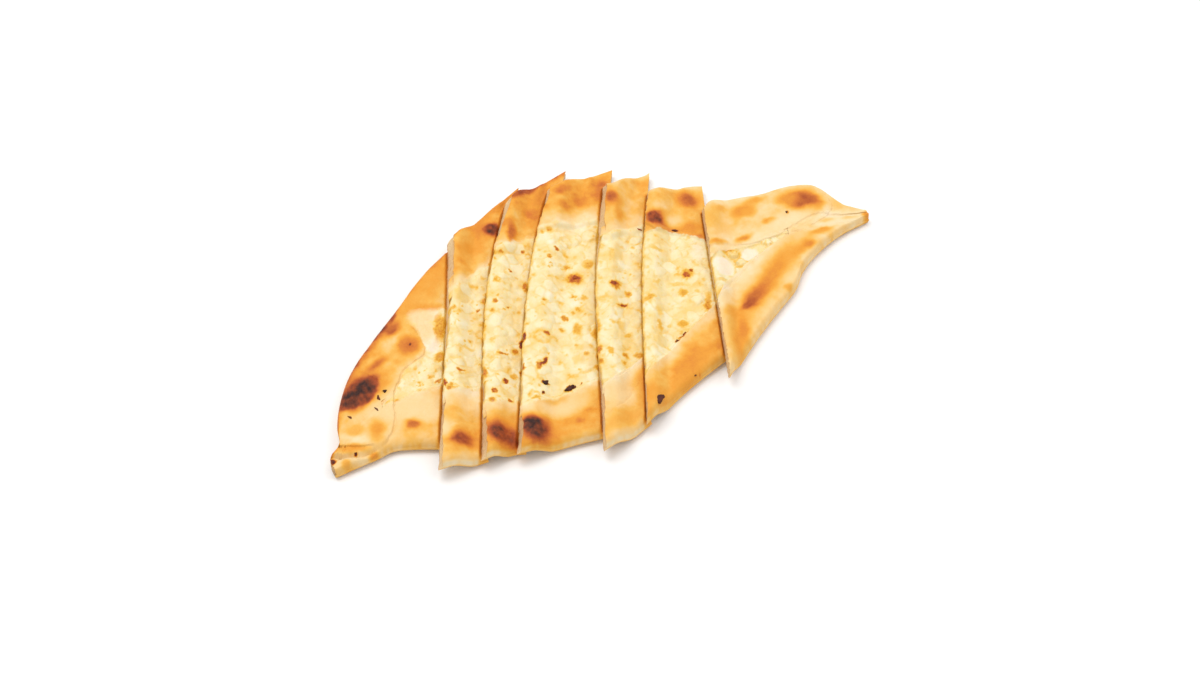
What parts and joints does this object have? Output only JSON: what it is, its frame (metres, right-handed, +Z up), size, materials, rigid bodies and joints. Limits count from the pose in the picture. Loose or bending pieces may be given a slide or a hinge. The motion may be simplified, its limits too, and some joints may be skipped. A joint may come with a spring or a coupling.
{
  "type": "cheese pide",
  "caption": "Boat-shaped flatbread with folded golden borders, pinched tips and melted cheese along its middle, cut across into slices that lean on one another.",
  "frame": {"origin": "middle of the bounding box in plan, at the surface the bread rests on", "axes": "+X from the left tip to the right tip, +Y across the bread towards its back border, +Z up"},
  "size_m": [0.39, 0.215, 0.0168],
  "materials": {
    "crust": "matt baked crust, golden orange with brown blisters, pale crumb at the cuts",
    "cheese": "melted cheese, creamy yellow with lumps and toasted specks, slightly glossy"
  },
  "bodies": {
    "root": {"slice_1_dough": "crust", "slice_1_cheese": "cheese", "slice_2_dough": "crust", "slice_2_cheese": "cheese", "slice_3_dough": "crust", "slice_3_cheese": "cheese", "slice_4_dough": "crust", "slice_4_cheese": "cheese", "slice_5_dough": "crust", "slice_5_cheese": "cheese", "slice_6_dough": "crust", "slice_6_cheese": "cheese", "slice_7_dough": "crust", "slice_7_cheese": "cheese"}
  },
  "joints": []
}
